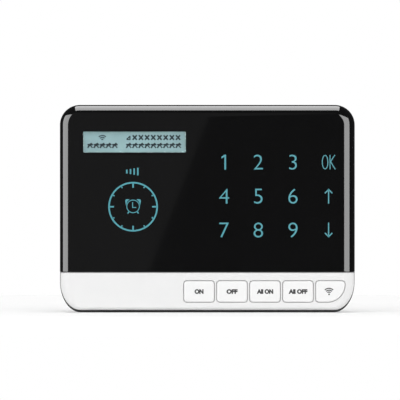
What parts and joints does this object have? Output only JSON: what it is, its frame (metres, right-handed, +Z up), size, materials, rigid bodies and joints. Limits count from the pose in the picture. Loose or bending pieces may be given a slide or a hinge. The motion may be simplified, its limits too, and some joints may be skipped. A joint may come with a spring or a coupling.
{
  "type": "alarm keypad panel",
  "caption": "Wall-hung alarm keypad panel: glossy black touch face with a character display, over a white strip of push keys, on a slide-on wall bracket.",
  "frame": {"origin": "middle of the wall bracket's rear face, on the wall plane", "axes": "+X to the right seen from the front, +Y into the wall, +Z up; the panel faces -Y"},
  "size_m": [0.185, 0.0262, 0.1302],
  "materials": {
    "gloss_black": "high gloss, dark",
    "white_plastic": "fine satin",
    "key_plastic": "fine satin",
    "rear_plastic": "fine grained",
    "clear_lens": "clear, polished",
    "display": "pale grey-green display",
    "legend_cyan": "backlit legend",
    "legend_grey": "printed legend",
    "display_ink": "display segments",
    "bracket_steel": "zinc plated sheet",
    "plated_steel": "tin plated",
    "circuit_board": "solder mask",
    "chip_black": "moulded",
    "diffuser": "frosted",
    "battery_wrap": "shrink sleeve",
    "terminal_plastic": "moulded",
    "antenna_brass": "drawn wire",
    "flex_film": "polyimide film",
    "rubber_boot": "soft"
  },
  "bodies": {
    "bracket": {"wall_bracket": "bracket_steel"},
    "panel": {"rear_housing": "rear_plastic", "front_cover": "gloss_black", "lower_trim": "white_plastic", "display_window": "clear_lens", "lcd_bezel": "plated_steel", "lcd_glass": "display", "lcd_backlight": "diffuser", "lcd_board": "circuit_board", "light_guide": "diffuser", "touch_board": "circuit_board", "main_board": "circuit_board", "button_board": "circuit_board", "socket_board": "circuit_board", "radio_shield": "plated_steel", "wireless_module": "plated_steel", "main_chip": "chip_black", "rf_receiver": "circuit_board", "siren_buzzer": "chip_black", "capacitor": "chip_black", "terminal_block": "terminal_plastic", "battery_pack": "battery_wrap", "speaker": "chip_black", "antenna_coil": "antenna_brass", "flat_antenna": "flex_film", "ribbon_cable": "flex_film", "power_inlet": "plated_steel", "sim_socket": "plated_steel", "microphone": "chip_black", "microphone_boot": "rubber_boot", "power_switch_body": "chip_black", "tamper_switch_body": "chip_black", "tact_switch_1": "chip_black", "tact_switch_2": "chip_black", "tact_switch_3": "chip_black", "tact_switch_4": "chip_black", "tact_switch_5": "chip_black", "case_screw_1": "plated_steel", "case_screw_2": "plated_steel", "case_screw_3": "plated_steel", "case_screw_4": "plated_steel", "case_screw_5": "plated_steel", "case_screw_6": "plated_steel", "case_screw_7": "plated_steel", "board_screw_1": "plated_steel", "board_screw_2": "plated_steel", "board_screw_3": "plated_steel", "board_screw_4": "plated_steel", "key_board_screw_1": "plated_steel", "socket_board_screw_1": "plated_steel", "key_board_screw_2": "plated_steel", "socket_board_screw_2": "plated_steel"},
    "power_knob": {"power_switch_knob": "rear_plastic"},
    "tamper_pin": {"tamper_plunger": "rear_plastic"},
    "key_on": {"key_on": "key_plastic"},
    "key_off": {"key_off": "key_plastic"},
    "key_all_on": {"key_all_on": "key_plastic"},
    "key_all_off": {"key_all_off": "key_plastic"},
    "key_wireless": {"key_wireless": "key_plastic"}
  },
  "joints": [
    {"name": "panel_lift", "type": "slide", "parent": "bracket", "child": "panel", "axis": [0, 0, 1], "range_m": [0, 0.008]},
    {"name": "press_on", "type": "slide", "parent": "panel", "child": "key_on", "axis": [0, 1, 0], "range_m": [0, 0.0008], "stiffness_N_per_m": 300, "springref_m": -0.002},
    {"name": "press_off", "type": "slide", "parent": "panel", "child": "key_off", "axis": [0, 1, 0], "range_m": [0, 0.0008], "stiffness_N_per_m": 300, "springref_m": -0.002},
    {"name": "press_all_on", "type": "slide", "parent": "panel", "child": "key_all_on", "axis": [0, 1, 0], "range_m": [0, 0.0008], "stiffness_N_per_m": 300, "springref_m": -0.002},
    {"name": "press_all_off", "type": "slide", "parent": "panel", "child": "key_all_off", "axis": [0, 1, 0], "range_m": [0, 0.0008], "stiffness_N_per_m": 300, "springref_m": -0.002},
    {"name": "press_wireless", "type": "slide", "parent": "panel", "child": "key_wireless", "axis": [0, 1, 0], "range_m": [0, 0.0008], "stiffness_N_per_m": 300, "springref_m": -0.002},
    {"name": "power_slide", "type": "slide", "parent": "panel", "child": "power_knob", "axis": [0, 0, 1], "range_m": [-0.003, 0]},
    {"name": "tamper_press", "type": "slide", "parent": "panel", "child": "tamper_pin", "axis": [0, -1, 0], "range_m": [0, 0.0015], "stiffness_N_per_m": 200, "springref_m": -0.001}
  ]
}
